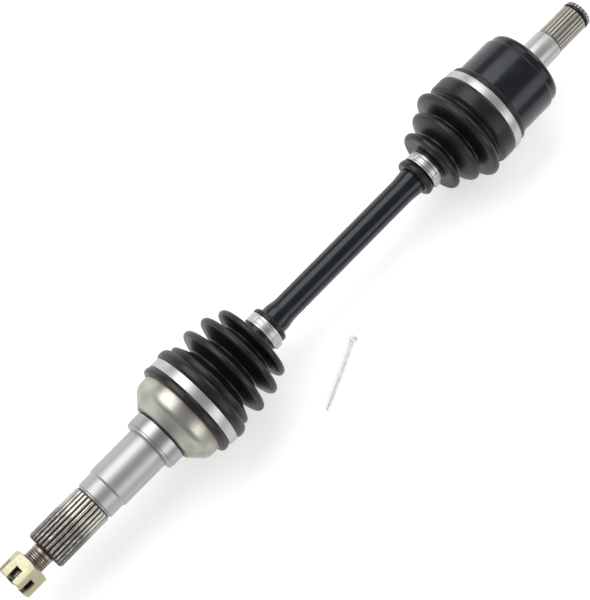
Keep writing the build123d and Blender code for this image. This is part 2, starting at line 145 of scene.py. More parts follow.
class BootSizes(bpy.types.PropertyGroup):
    wall: bpy.props.FloatProperty(
        name="Wall", description="Rubber thickness in the folds, mm", default=1.8, min=1.0, max=2.2)
    shade: bpy.props.FloatVectorProperty(
        name="Rubber", description="Colour of the boot rubber", subtype="COLOR", size=3,
        default=(0.005, 0.0053, 0.006), min=0, max=1)
    gloss: bpy.props.FloatProperty(
        name="Rubber roughness", description="Roughness of the rubber", default=0.33, min=0.1, max=1,
        subtype="FACTOR")


class StubSizes(bpy.types.PropertyGroup):
    hub_teeth: bpy.props.IntProperty(
        name="Hub teeth", description="Teeth on the wheel stub", default=28, min=10, max=60)
    gear_teeth: bpy.props.IntProperty(
        name="Gearbox teeth", description="Teeth on the gearbox stub", default=23, min=10, max=60)
    tooth_depth: bpy.props.FloatProperty(
        name="Tooth depth", description="Height of a spline tooth, mm", default=1.45, min=0.5, max=2)
    thread_pitch: bpy.props.FloatProperty(
        name="Thread pitch", description="Pitch of the stud's thread, mm", default=1.5, min=1, max=3)


class FinishColours(bpy.types.PropertyGroup):
    paint: bpy.props.FloatVectorProperty(
        name="Paint", description="Black enamel on bar and cup", subtype="COLOR", size=3,
        default=(0.003, 0.0038, 0.006), min=0, max=1)
    steel: bpy.props.FloatVectorProperty(
        name="Ground steel", description="Ground journals", subtype="COLOR", size=3,
        default=(0.42, 0.42, 0.425), min=0, max=1)
    forging: bpy.props.FloatVectorProperty(
        name="Forging", description="Turned bell", subtype="COLOR", size=3,
        default=(0.43, 0.425, 0.385), min=0, max=1)
    band: bpy.props.FloatVectorProperty(
        name="Clamp band", description="Stainless clamp bands", subtype="COLOR", size=3,
        default=(0.47, 0.475, 0.48), min=0, max=1)
    zinc: bpy.props.FloatVectorProperty(
        name="Yellow zinc", description="Passivated castle nut", subtype="COLOR", size=3,
        default=(0.49, 0.46, 0.32), min=0, max=1)


def boots():
    return bpy.context.scene.boot_sizes


def stubs():
    return bpy.context.scene.stub_sizes


def colours():
    return bpy.context.scene.finish_colours


# ---- material building --------------------------------------------------

class Finish:
    """A node material with one surface shader and short calls for the patterns that feed it."""

    def __init__(self, name, colour, rough, metal=0.0, coat=0.0, specular=0.5):
        self.material = bpy.data.materials.new(name)
        self.material.use_nodes = True
        self.nodes = self.material.node_tree.nodes
        self.links = self.material.node_tree.links
        self.shader = self.nodes["Principled BSDF"]
        for socket, value in (
            ("Base Color", (*colour, 1)), ("Roughness", rough), ("Metallic", metal),
            ("Coat Weight", coat), ("Coat Roughness", 0.12), ("Specular IOR Level", specular),
        ):
            self.shader.inputs[socket].default_value = value
        self.place = self.nodes.new("ShaderNodeTexCoord").outputs["Object"]
        split = self.nodes.new("ShaderNodeSeparateXYZ")
        self.links.new(self.place, split.inputs[0])
        self.x, self.y, self.z = split.outputs
        self.height = None

    def maths(self, operation, a, b=0.0, clamp=False):
        node = self.nodes.new("ShaderNodeMath")
        node.operation = operation
        node.use_clamp = clamp
        for socket, value in zip(node.inputs, (a, b)):
            if isinstance(value, (int, float)):
                socket.default_value = value
            else:
                self.links.new(value, socket)
        return node.outputs[0]

    def radius(self):
        """Distance from the axle's axis."""
        squares = self.maths("ADD", self.maths("POWER", self.y, 2), self.maths("POWER", self.z, 2))
        return self.maths("SQRT", squares)

    def ramp(self, value, low, high, from_value=0.0, to_value=1.0):
        node = self.nodes.new("ShaderNodeMapRange")
        node.interpolation_type = "SMOOTHSTEP"
        self.links.new(value, node.inputs["Value"])
        for socket, number in (
            ("From Min", low), ("From Max", high), ("To Min", from_value), ("To Max", to_value),
        ):
            node.inputs[socket].default_value = number
        return node.outputs["Result"]

    def noise(self, scale, detail=3.0, rough=0.55, stretch=(1, 1, 1)):
        where = self.nodes.new("ShaderNodeMapping")
        where.inputs["Scale"].default_value = stretch
        self.links.new(self.place, where.inputs["Vector"])
        node = self.nodes.new("ShaderNodeTexNoise")
        node.inputs["Scale"].default_value = scale
        node.inputs["Detail"].default_value = detail
        node.inputs["Roughness"].default_value = rough
        self.links.new(where.outputs[0], node.inputs["Vector"])
        return node.outputs["Fac"]

    def tint(self, amount, colour):
        """Mix a colour over the base colour by an amount."""
        node = self.nodes.new("ShaderNodeMix")
        node.data_type = "RGBA"
        base = self.shader.inputs["Base Color"]
        if base.is_linked:
            self.links.new(base.links[0].from_socket, node.inputs[6])
        else:
            node.inputs[6].default_value = base.default_value
        node.inputs[7].default_value = (*colour, 1)
        self.links.new(amount, node.inputs[0])
        self.links.new(node.outputs[2], base)

    def roughen(self, pattern, low, high):
        self.links.new(self.ramp(pattern, 0.25, 0.75, low, high), self.shader.inputs["Roughness"])

    def bump(self, pattern, strength, distance=0.0002):
        node = self.nodes.new("ShaderNodeBump")
        node.inputs["Strength"].default_value = strength
        node.inputs["Distance"].default_value = distance
        self.links.new(pattern, node.inputs["Height"])
        normal = self.shader.inputs["Normal"]
        if normal.is_linked:
            self.links.new(normal.links[0].from_socket, node.inputs["Normal"])
        self.links.new(node.outputs[0], normal)


def turned_steel(name, colour, rough, strength=0.12):
    """Ground or turned metal: fine rings round the axle and slow changes of tone."""
    finish = Finish(name, colour, rough, metal=1.0)
    rings = finish.noise(900, 2, stretch=(9, 0.4, 0.4))
    cloud = finish.noise(60, 4)
    finish.tint(finish.ramp(cloud, 0.45, 0.75, 0, 0.35), tuple(0.72 * c for c in colour))
    worn = finish.maths("ADD", finish.maths("MULTIPLY", rings, 0.6), 0.5)
    finish.roughen(worn, rough - 0.05, rough + 0.12)
    finish.bump(rings, strength, 0.00008)
    return finish.material


def bell_steel():
    """Forged and turned bell, warm and faintly stained towards the boot lip, with painted shade on its back
    beside the seal collar.
    """
    base = tuple(colours().forging)
    finish = Finish("turned_forging", base, 0.46, metal=1.0)
    rings = finish.noise(700, 2, stretch=(8, 0.5, 0.5))
    cloud = finish.noise(45, 5, 0.6)
    stain = finish.noise(130, 4)
    finish.tint(finish.ramp(cloud, 0.42, 0.68, 0, 0.75), (0.3, 0.295, 0.25))
    edge = finish.ramp(finish.x, 29 * MM, 36.2 * MM, 0, 0.75)
    finish.tint(finish.maths("MULTIPLY", edge, stain), (0.2, 0.12, 0.07))
    # painted shade: near-black band on the bell's back, in the step where it meets the seal collar
    finish.tint(finish.ramp(finish.x, 15.2 * MM, 13.8 * MM, 0, 0.8), (0.07, 0.065, 0.05))
    finish.roughen(cloud, 0.3, 0.5)
    finish.bump(rings, 0.15, 0.0001)
    return finish.material


def hub_spline_steel():
    """Rolled spline: painted shade in the grooves that leaves the tooth tips lighter, grimy over its outer
    half.
    """
    finish = Finish("hub_spline_steel", (0.58, 0.57, 0.515), 0.36, metal=1.0)
    blotch = finish.noise(90, 5, 0.65)
    streak = finish.noise(650, 4, 0.6, (0.45, 1, 1))
    groove_shade = finish.ramp(finish.radius(), 15.98 * MM, 14.9 * MM, 0, 0.93)
    finish.tint(finish.ramp(blotch, 0.45, 0.7, 0, 0.55), (0.36, 0.35, 0.3))
    outer = finish.ramp(finish.x, -69 * MM, -81 * MM, 0, 1)
    grime = finish.maths("MULTIPLY", outer, finish.ramp(streak, 0.3, 0.55, 0.3, 0.95))
    finish.tint(grime, (0.19, 0.182, 0.165))
    # painted shade: near-black tint deepening towards the groove floors between the teeth
    finish.tint(groove_shade, (0.04, 0.035, 0.028))
    finish.roughen(streak, 0.3, 0.58)
    finish.bump(streak, 0.55, 0.0004)
    return finish.material


def gear_spline_steel():
    """Gearbox spline: painted brownish shade in the grooves, leaving the tips lighter."""
    finish = Finish("gear_spline_steel", (0.42, 0.405, 0.36), 0.32, metal=1.0)
    streak = finish.noise(200, 4, 0.6, (0.3, 1, 1))
    finish.tint(finish.ramp(streak, 0.4, 0.7, 0, 0.5), (0.26, 0.235, 0.19))
    # painted shade: brown tint deepening from the tooth tips towards the groove floors
    finish.tint(finish.ramp(finish.radius(), 11.4 * MM, 10.7 * MM, 0, 0.85), (0.1, 0.08, 0.055))
    finish.roughen(streak, 0.28, 0.45)
    finish.bump(streak, 0.12, 0.0001)
    return finish.material


def thread_steel():
    """Stud: painted shade, dark brown, between the turns of the thread."""
    finish = Finish("thread_steel", (0.4, 0.35, 0.29), 0.4, metal=1.0)
    streak = finish.noise(300, 3)
    # painted shade: dark brown tint deepening from the thread crests towards the roots
    finish.tint(finish.ramp(finish.radius(), 8.9 * MM, 8.3 * MM, 0, 0.9), (0.06, 0.048, 0.034))
    finish.roughen(streak, 0.28, 0.48)
    finish.bump(streak, 0.1, 0.0001)
    return finish.material


def black_enamel():
    """Blue-black paint with a soft gloss and a fine skin."""
    finish = Finish("black_enamel", tuple(colours().paint), 0.26, coat=0.2, specular=0.32)
    finish.shader.inputs["Specular Tint"].default_value = (0.85, 0.92, 1, 1)
    finish.shader.inputs["Coat Roughness"].default_value = 0.16
    skin = finish.noise(500, 2)
    flow = finish.noise(70, 3)
    finish.tint(finish.ramp(flow, 0.5, 0.75, 0, 0.5), (0.006, 0.0075, 0.011))
    finish.roughen(flow, 0.22, 0.32)
    finish.bump(skin, 0.06, 0.0001)
    return finish.material


def boot_rubber():
    """Black rubber, a little greyer where it has bloomed."""
    finish = Finish("boot_rubber", tuple(boots().shade), boots().gloss, specular=0.35)
    grain = finish.noise(1500, 2)
    bloom = finish.noise(35, 4, 0.6)
    finish.tint(finish.ramp(bloom, 0.45, 0.75, 0, 0.6), (0.0095, 0.01, 0.011))
    finish.roughen(bloom, boots().gloss - 0.04, boots().gloss + 0.12)
    finish.bump(grain, 0.12, 0.00015)
    return finish.material


def band_steel():
    """Stainless strip, brushed round the clamp."""
    finish = Finish("clamp_band_steel", tuple(colours().band), 0.3, metal=1.0)
    brush = finish.noise(600, 3, 0.6, (8, 0.6, 0.6))
    cloud = finish.noise(70, 3)
    finish.tint(finish.ramp(cloud, 0.45, 0.8, 0, 0.5), (0.32, 0.32, 0.325))
    finish.roughen(brush, 0.33, 0.48)
    finish.bump(brush, 0.1, 0.0001)
    return finish.material


def yellow_zinc():
    """Passivated zinc: pale straw with faint green and pink clouds, and painted shade towards the bore and
    down in the slots.
    """
    finish = Finish("yellow_zinc", tuple(colours().zinc), 0.46, metal=0.75)
    cloud = finish.noise(110, 4)
    finish.tint(finish.ramp(cloud, 0.5, 0.7, 0, 0.5), (0.46, 0.5, 0.29))
    finish.tint(finish.ramp(cloud, 0.45, 0.3, 0, 0.35), (0.56, 0.48, 0.4))
    # painted shade: dark tint deepening towards the nut's bore and the bottoms of its slots
    finish.tint(finish.ramp(finish.radius(), 12.4 * MM, 10.8 * MM, 0, 0.92), (0.045, 0.028, 0.01))
    finish.roughen(finish.noise(400, 3), 0.4, 0.54)
    finish.bump(finish.noise(800, 2), 0.08, 0.0001)
    return finish.material


def plain_metal(name, colour, rough, speck=250):
    """Metal with darker specks; a larger speck number makes them finer."""
    finish = Finish(name, colour, rough, metal=1.0)
    cloud = finish.noise(speck, 4)
    finish.tint(finish.ramp(cloud, 0.45, 0.75, 0, 0.45), tuple(0.6 * c for c in colour))
    finish.roughen(cloud, rough - 0.06, rough + 0.12)
    finish.bump(cloud, 0.06, 0.0001)
    return finish.material


# ---- mesh building ------------------------------------------------------

def new_object(name, mesh, material):
    piece = bpy.data.objects.new(name, mesh)
    bpy.context.scene.collection.objects.link(piece)
    mesh.materials.clear()
    mesh.materials.append(material)
    return piece


def to_mesh(name, build):
    """Turn a bmesh into a mesh and let it go."""
    mesh = bpy.data.meshes.new(name)
    build.to_mesh(mesh)
    build.free()
    return mesh


def smooth(piece, angle=32):
    """Shade smooth, with edges sharper than the angle kept."""
    for face in piece.data.polygons:
        face.use_smooth = True
    piece.data.set_sharp_from_angle(angle=radians(angle))
    return piece


def lathe(name, outline, material, around=AROUND, closed=True, swell=None):
    """Turn an outline of (x, radius) in millimetres round the X axis.

    A closed outline makes a ring; an open one ends on the axis at both ends. swell(x, r, angle) moves a
    point outwards. All faces are turned outwards.
    """
    build = bmesh.new()
    columns = []
    for k in range(around):
        turn = 2 * pi * k / around
        column = []
        for x, r in outline:
            grown = r + (swell(x, r, turn) if swell else 0)
            column.append(build.verts.new((x * MM, -grown * sin(turn) * MM, grown * cos(turn) * MM)))
        columns.append(column)
    span = len(outline) if closed else len(outline) - 1
    for k in range(around):
        here, there = columns[k], columns[(k + 1) % around]
        for i in range(span):
            j = (i + 1) % len(outline)
            build.faces.new((here[i], here[j], there[j], there[i]))
    bmesh.ops.remove_doubles(build, verts=build.verts, dist=1e-7)
    bmesh.ops.recalc_face_normals(build, faces=build.faces)
    return smooth(new_object(name, to_mesh(name, build), material))


def skin(name, rows, material, folded=False):
    """Cover rows of points in millimetres, each a loop, and close both ends.

    A folded row runs out and back along a strip, so its end is closed by faces across the strip.
    """
    build = bmesh.new()
    loops = [[build.verts.new([c * MM for c in point]) for point in row] for row in rows]
    for here, there in zip(loops, loops[1:]):
        for i in range(len(here)):
            j = (i + 1) % len(here)
            build.faces.new((here[i], here[j], there[j], there[i]))
    for loop in (loops[0], loops[-1]):
        if folded:
            for i in range(len(loop) // 2 - 1):
                build.faces.new((loop[i], loop[i + 1], loop[-i - 2], loop[-i - 1]))
        else:
            build.faces.new(loop)
    bmesh.ops.recalc_face_normals(build, faces=build.faces)
    return new_object(name, to_mesh(name, build), material)


def rounded(points, steps=4, closed=True):
    """Replace each corner (x, r, fillet) of an outline by a short arc."""
    result = []
    count = len(points)
    for i, (x, r, fillet) in enumerate(points):
        if fillet <= 0 or (not closed and i in (0, count - 1)):
            result.append((x, r))
            continue
        corner = Vector((x, r))
        before = Vector(points[i - 1][:2]) - corner
        after = Vector(points[(i + 1) % count][:2]) - corner
        reach = min(fillet, 0.45 * before.length, 0.45 * after.length)
        start, end = corner + before.normalized() * reach, corner + after.normalized() * reach
        for s in range(steps + 1):
            t = s / steps
            point = (1 - t) ** 2 * start + 2 * t * (1 - t) * corner + t * t * end
            result.append((point.x, point.y))
    return result


def carve(piece, tool):
    """Cut a tool away from a piece and keep the plain mesh."""
    cut = piece.modifiers.new("cut", "BOOLEAN")
    cut.operation = "DIFFERENCE"
    cut.solver = "EXACT"
    cut.object = tool
    settle(piece)
    bpy.data.objects.remove(tool)
    return smooth(piece)


def settle(piece):
    """Turn a piece with modifiers into a plain mesh."""
    graph = bpy.context.evaluated_depsgraph_get()
    graph.update()
    mesh = bpy.data.meshes.new_from_object(piece.evaluated_get(graph))
    piece.modifiers.clear()
    piece.data = mesh
    return piece


def join_meshes(name, pieces, material):
    """One object from several, which are removed."""
    build = bmesh.new()
    for piece in pieces:
        build.from_mesh(piece.data)
        bpy.data.objects.remove(piece)
    return new_object(name, to_mesh(name, build), material)


def cad_copy(name, node, material, soften=0.0):
    """A merged copy of a CAD node, with smooth turned faces and, if asked, small bevels."""
    source = frame["nodes"][node]
    source = bpy.data.objects[source] if isinstance(source, str) else source
    build = bmesh.new()
    build.from_mesh(source.data)
    build.transform(source.matrix_world)
    bmesh.ops.remove_doubles(build, verts=build.verts, dist=2e-6)
    if soften:
        bmesh.ops.dissolve_limit(build, angle_limit=radians(1.0), verts=build.verts, edges=build.edges)
    piece = new_object(name, to_mesh(name, build), material)
    if soften:
        bevel = piece.modifiers.new("edge", "BEVEL")
        bevel.width = soften * MM
        bevel.segments = 3
        bevel.limit_method = "ANGLE"
        bevel.angle_limit = radians(35)
        settle(piece)
    smooth(piece, 35)
    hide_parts(node)
    return piece


# ---- geometry node trees ------------------------------------------------

def tree(name, sockets):
    """An empty Geometry Nodes tree with the named inputs (label, kind, default)."""
    group = bpy.data.node_groups.new(name, "GeometryNodeTree")
    group.interface.new_socket("Geometry", in_out="INPUT", socket_type="NodeSocketGeometry")
    group.interface.new_socket("Geometry", in_out="OUTPUT", socket_type="NodeSocketGeometry")
    for label, kind, default in sockets:
        item = group.interface.new_socket(label, in_out="INPUT", socket_type=kind)
        if default is not None:
            item.default_value = default
    return group


def finish_tree(group, geometry, source):
    """End a tree in Realize Instances and Set Material."""
    realize = group.nodes.new("GeometryNodeRealizeInstances")
    dress = group.nodes.new("GeometryNodeSetMaterial")
    out = group.nodes.new("NodeGroupOutput")
    group.links.new(geometry, realize.inputs[0])
    group.links.new(realize.outputs[0], dress.inputs["Geometry"])
    group.links.new(source.outputs["Material"], dress.inputs["Material"])
    group.links.new(dress.outputs[0], out.inputs[0])


def teeth_tree():
    """Copies of the incoming tooth, evenly turned round the X axis."""
    group = tree("spline_teeth", (
        ("Count", "NodeSocketInt", 28), ("Material", "NodeSocketMaterial", None)))
    source = group.nodes.new("NodeGroupInput")
    points = group.nodes.new("GeometryNodePoints")
    place = group.nodes.new("GeometryNodeInstanceOnPoints")
    index = group.nodes.new("GeometryNodeInputIndex")
    step = group.nodes.new("ShaderNodeMath")
    turn = group.nodes.new("ShaderNodeMath")
    spin = group.nodes.new("ShaderNodeCombineXYZ")
    step.operation = "DIVIDE"
    step.inputs[0].default_value = 2 * pi
    turn.operation = "MULTIPLY"
    link = group.links.new
    link(source.outputs["Count"], points.inputs["Count"])
    link(source.outputs["Count"], step.inputs[1])
    link(index.outputs[0], turn.inputs[0])
    link(step.outputs[0], turn.inputs[1])
    link(turn.outputs[0], spin.inputs["X"])
    link(points.outputs[0], place.inputs["Points"])
    link(source.outputs["Geometry"], place.inputs["Instance"])
    link(spin.outputs[0], place.inputs["Rotation"])
    finish_tree(group, place.outputs[0], source)
    return group


def thread_tree():
    """A helical ridge round the X axis, from its start along +X."""
    group = tree("screw_thread", (
        ("Turns", "NodeSocketFloat", 16.0), ("Pitch", "NodeSocketFloat", 0.0015),
        ("Radius", "NodeSocketFloat", 0.0084), ("Ridge", "NodeSocketFloat", 0.0006),
        ("Start", "NodeSocketFloat", 0.0), ("Material", "NodeSocketMaterial", None)))
    source = group.nodes.new("NodeGroupInput")
    helix = group.nodes.new("GeometryNodeCurveSpiral")
    helix.inputs["Resolution"].default_value = 56
    ridge = group.nodes.new("GeometryNodeCurvePrimitiveCircle")
    ridge.inputs["Resolution"].default_value = 6
    sweep = group.nodes.new("GeometryNodeCurveToMesh")
    sweep.inputs["Fill Caps"].default_value = True
    length = group.nodes.new("ShaderNodeMath")
    length.operation = "MULTIPLY"
    shift = group.nodes.new("ShaderNodeCombineXYZ")
    lay = group.nodes.new("GeometryNodeTransform")
    lay.inputs["Rotation"].default_value = (0, pi / 2, 0)
    link = group.links.new
    link(source.outputs["Turns"], helix.inputs["Rotations"])
    link(source.outputs["Radius"], helix.inputs["Start Radius"])
    link(source.outputs["Radius"], helix.inputs["End Radius"])
    link(source.outputs["Turns"], length.inputs[0])
    link(source.outputs["Pitch"], length.inputs[1])
    link(length.outputs[0], helix.inputs["Height"])
    link(source.outputs["Ridge"], ridge.inputs["Radius"])
    link(helix.outputs[0], sweep.inputs["Curve"])
    link(ridge.outputs[0], sweep.inputs["Profile Curve"])
    link(sweep.outputs[0], lay.inputs["Geometry"])
    link(source.outputs["Start"], shift.inputs["X"])
    link(shift.outputs[0], lay.inputs["Translation"])
    finish_tree(group, lay.outputs[0], source)
    return group


def grow(piece, group, **values):
    """Run a tree on a piece with its named inputs set, and keep the plain mesh."""
    modifier = piece.modifiers.new(group.name, "NODES")
    modifier.node_group = group
    for item in group.interface.items_tree:
        if item.item_type == "SOCKET" and item.in_out == "INPUT" and item.name in values:
            modifier[item.identifier] = values[item.name]
    return settle(piece)


def tooth(name, x0, x1, root_r, tip_r, root_half, tip_half, lead, material):
    """One spline tooth at the top of the shaft, with rounded tips and sloped ends."""
    foot = root_r - 0.4
    crown = tip_r - 0.18
    profile = [
        (-root_half, foot), (-root_half, root_r), (-tip_half, crown), (-0.7 * tip_half, tip_r),
        (0.7 * tip_half, tip_r), (tip_half, crown), (root_half, root_r), (root_half, foot),
    ]
    stations = [(x0, root_r), (x0 + lead, tip_r), (x1 - lead, tip_r), (x1, root_r)]
    rows = [[(x, y, min(z, top)) for y, z in profile] for x, top in stations]
    return skin(name, rows, material)


# ---- outlines -----------------------------------------------------------

OUT_NECK_R = 14.2
OUT_NECK_BORE_R = 11.6
OUT_CLAMP_SEAT_R = 39.3
OUT_CUFF_R = 40.9
OUT_LIP_BORE_R = 36.6
IN_NECK_R = 13.9
IN_NECK_BORE_R = 11.3
IN_CLAMP_SEAT_R = 36.3
IN_CUFF_R = 38.05
IN_LIP_BORE_R = 33.85

# folds of each boot as (x, radius at the extreme, fillet); a crest's fillet is positive
OUT_FOLDS = [
    (59.9, 37.0, 0), (62.8, 37.85, 2.4), (70.3, 27.2, -1.4), (77.8, 39.7, 3.0), (85.9, 23.4, -1.4),
    (93.6, 37.55, 3.0), (101.4, 21.6, -1.4), (106.9, 32.45, 2.8), (111.6, OUT_NECK_R, -1.2),
    (113.2, OUT_NECK_R, 0),
]
IN_FOLDS = [
    (296.2, IN_NECK_R, 0), (297.6, IN_NECK_R, -1.2), (302.0, 27.0, 3.0), (308.2, 20.6, -1.4),
    (317.7, 33.1, 3.2), (323.6, 25.4, -1.4), (331.1, 40.4, 3.4), (338.4, 34.4, -1.0), (341.6, 37.6, 0),
]


# spans of x along a boot; the end of each span but the last is where the boot is cut into rings
OUT_BENDS = [(60.0, 68.4), (68.4, 84.5), (84.5, 100.0), (100.0, 113.0)]
IN_BENDS = [(299.0, 319.5), (319.5, 329.0), (329.0, 341.6)]
IN_WALL_LESS = 0.3       # the inboard folds are thinner, to clear the bar
FLANK_STEP = 1.6         # longest straight piece of a flank


def folds(nodes, inset=0.0, steps=8):
    """Outline of the folds: straight flanks that touch round crests and valleys."""
    circles = [(x, r - f, f - inset) for x, r, f in nodes]
    flanks = []
    for (xa, ya, fa), (xb, yb, fb) in zip(circles, circles[1:]):
        gap = hypot(xb - xa, yb - ya)
        ex, ey = (xb - xa) / gap, (yb - ya) / gap
        lean = (fa - fb) / gap
        rise = sqrt(1 - lean * lean)
        flanks.append(Vector((lean * ex - rise * ey, lean * ey + rise * ex)))
    line = []
    for i, (x, y, fillet) in enumerate(circles):
        before = flanks[max(i - 1, 0)]
        after = flanks[min(i, len(flanks) - 1)]
        count = steps if fillet and before != after else 0
        turn = before.angle_signed(after) if count else 0
        for s in range(count + 1):
            a = -turn * s / max(count, 1)
            nx = before.x * cos(a) - before.y * sin(a)
            ny = before.x * sin(a) + before.y * cos(a)
            line.append((x + fillet * nx, y + fillet * ny))
    dense = [line[0]]
    for a, b in zip(line, line[1:]):
        parts = max(1, int(hypot(b[0] - a[0], b[1] - a[1]) / FLANK_STEP))
        for s in range(1, parts + 1):
            dense.append((a[0] + (b[0] - a[0]) * s / parts, a[1] + (b[1] - a[1]) * s / parts))
    return dense


def clip(line, start, end):
    """The part of an outline between two planes across the axle."""
    kept = []
    for (xa, ra), (xb, rb) in zip(line, line[1:]):
        if xb < start or xa > end:
            continue
        for x, r in ((xa, ra), (xb, rb)):
            at = min(max(x, start), end)
            share = 0 if xb == xa else (at - xa) / (xb - xa)
            point = (at, ra + (rb - ra) * share)
            if not kept or hypot(kept[-1][0] - point[0], kept[-1][1] - point[1]) > 1e-4:
                kept.append(point)
    return kept


def boot(name, node, outer, inner, bends, material):
    """Build a boot as rings cut across the axle."""
    ends = [min(p[0] for p in outer)] + [bend[1] for bend in bends[:-1]] + [max(p[0] for p in outer)]
    for number, (start, end) in enumerate(zip(ends, ends[1:]), 1):
        top = clip(outer, start, end)
        bottom = clip(inner, start, end)
        piece = lathe(f"{name}_{number}", top + bottom[::-1], material, around=192)
        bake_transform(piece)
        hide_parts(node)


def body_of_node(node):
    bodies = frame["record"]["behaviour"]["bodies"]
    return next(body for body, nodes in bodies.items() if node in nodes)


def fit(piece, node):
    """Ride on the node's body and stand for the node."""
    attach(piece, body_of_node(node))
    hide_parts(node)
    return piece


# ---- operators ----------------------------------------------------------

class BuildWheelStub(bpy.types.Operator):
    """Build the wheel stub: stud, thread, spline, journals, bell and seal collar"""
    bl_idname = "shaft.wheel_stub"
    bl_label = "Wheel stub"

    def execute(self, context):
        sizes = stubs()
        start, end, bell_r = low_high("outboard_housing")
        polished = turned_steel("ground_journal", tuple(colours().steel), 0.35)
        toothed = hub_spline_steel()
        threaded = thread_steel()
        node = "outboard_housing"
        root_r = HUB_TIP_R - sizes.tooth_depth

        stud = lathe("stud", rounded([
            (start, 0, 0), (start, 7.0, 0.4), (start + 1.3, STUD_R, 0.3), (STUD_END_X, STUD_R, 0.3),
            (-107.6, STUD_LAND_R, 0.2), (-105.2, STUD_LAND_R, 0.3), (-104.9, STUD_RELIEF_R, 0.2),
            (-104.2, STUD_RELIEF_R, 0), (-103.9, 0, 0),
        ], closed=False), threaded, closed=False)
        hole = lathe("hole_tool", [(-12, 0), (-12, PIN_HOLE_R), (12, PIN_HOLE_R), (12, 0)], threaded,
                     around=32, closed=False)
        hole.data.transform(
            Matrix.Translation((PIN_HOLE_X * MM, 0, 0)) @ Matrix.Rotation(radians(PIN_HOLE_TURN), 4, "X")
            @ Matrix.Rotation(pi / 2, 4, "Z"))
        fit(carve(stud, hole), node)

        ridge_start = start + 0.8
        turns = (STUD_END_X + 0.2 - ridge_start) / sizes.thread_pitch
        seed = new_object("stud_thread", bpy.data.meshes.new("stud_thread"), threaded)
        ridge = grow(seed, thread_tree(), Turns=turns, Pitch=sizes.thread_pitch * MM,
                     Radius=(STUD_R + 0.2) * MM, Ridge=0.62 * MM, Start=ridge_start * MM, Material=threaded)
        fit(smooth(ridge, 50), node)

        x0, x1 = HUB_SPLINE_X
        core = lathe("hub_spline_core", rounded([
            (x0, 0, 0), (x0, root_r - 0.8, 0.2), (x0 + 0.8, root_r, 0.2), (x1, root_r, 0), (x1, 0, 0),
        ], closed=False), toothed, closed=False)
        fit(core, node)
        one = tooth("hub_spline_teeth", x0, x1 - 0.3, root_r, HUB_TIP_R, 1.32, 0.98, 1.5, toothed)
        teeth = grow(one, teeth_tree(), Count=sizes.hub_teeth, Material=toothed)
        fit(smooth(teeth, 40), node)

        journals = lathe("hub_journals", rounded([
            (x1, 0, 0), (x1, HUB_RELIEF_R, 0.1), (-54.6, HUB_RELIEF_R, 0.2), (-54.1, HUB_STEP_R, 0.25),
            (SEAT_START_X - 1.5, HUB_STEP_R, 0.3), (SEAT_START_X, SEAT_R, 0.35), (-0.6, SEAT_R, 0.2),
            (0.0, SEAT_R - 0.1, 0.1), (0.0, COLLAR_LAND_R, 0.1), (BELL_START_X, COLLAR_LAND_R, 0),
            (BELL_START_X, 0, 0),
        ], closed=False), polished, closed=False)
        fit(journals, node)

        bell_start = BELL_START_X - 0.05
        bell = lathe("bell", rounded([
            (bell_start, 0, 0), (bell_start, 22.9, 0.5), (14.2, 24.9, 1.0), (23.2, 34.8, 2.4),
            (BELL_SHOULDER_X, bell_r, 2.6), (BELL_FACE_X - 0.6, bell_r, 0.3),
            (BELL_FACE_X, BELL_NOSE_R, 0.3), (BELL_FACE_X, 0, 0),
        ], steps=7, closed=False), bell_steel(), closed=False)
        fit(hollow_bell(bell), node)

        collar_start, collar_end, collar_r = low_high("seal_collar")
        collar = lathe("seal_collar", rounded([
            (collar_start, COLLAR_LAND_R, 0.2), (collar_start, 20.6, 0.8), (0.7, 21.9, 0.5), (1.9, 22.0, 0.1),
            (2.1, 21.72, 0.1), (2.5, 21.72, 0.1), (2.7, collar_r, 0.2), (12.8, collar_r, 0.5),
            (collar_end, 21.6, 0.4), (collar_end, COLLAR_LAND_R, 0.2),
        ]), turned_steel("collar_steel", (0.38, 0.385, 0.39), 0.24))
        fit(collar, "seal_collar")
        return {"FINISHED"}


def hollow_bell(bell):
    """Cut the ball cavity and six curved ball tracks out of the bell."""
    back = OUT_CENTRE_X - OUT_CAVITY_R
    arc = [radians(6 * k) for k in range(1, 16)]
    cavity = [(back, 0)]
    cavity += [(OUT_CENTRE_X - OUT_CAVITY_R * cos(a), OUT_CAVITY_R * sin(a)) for a in arc]
    cavity += [(51.0, 27.4), (BELL_FACE_X + 1, 30.6), (BELL_FACE_X + 1, 0)]
    steel = bell.data.materials[0]
    carve(bell, lathe("cavity_tool", cavity, steel, around=96, closed=False))
    for number in range(BALLS):
        carve(bell, track_tool(2 * pi * number / BALLS, steel))
    return bell


def track_tool(turn, material):
    """A bent bar that follows the joint's sphere, for cutting one ball track."""
    steps, columns = 12, 24
    back, sweep = -38.0, 115.2
    rows = []
    for k in range(steps + 1):
        lean = radians(back + sweep * k / steps)
        row = []
        for s in range(columns):
            a = 2 * pi * s / columns
            reach = OUT_PITCH_R + OUT_TRACK_R * cos(a)
            row.append((OUT_CENTRE_X + reach * sin(lean), OUT_TRACK_R * sin(a), reach * cos(lean)))
        rows.append(row)
    tool = skin("track_tool", rows, material)
    tool.data.transform(Matrix.Rotation(turn, 4, "X"))
    return tool


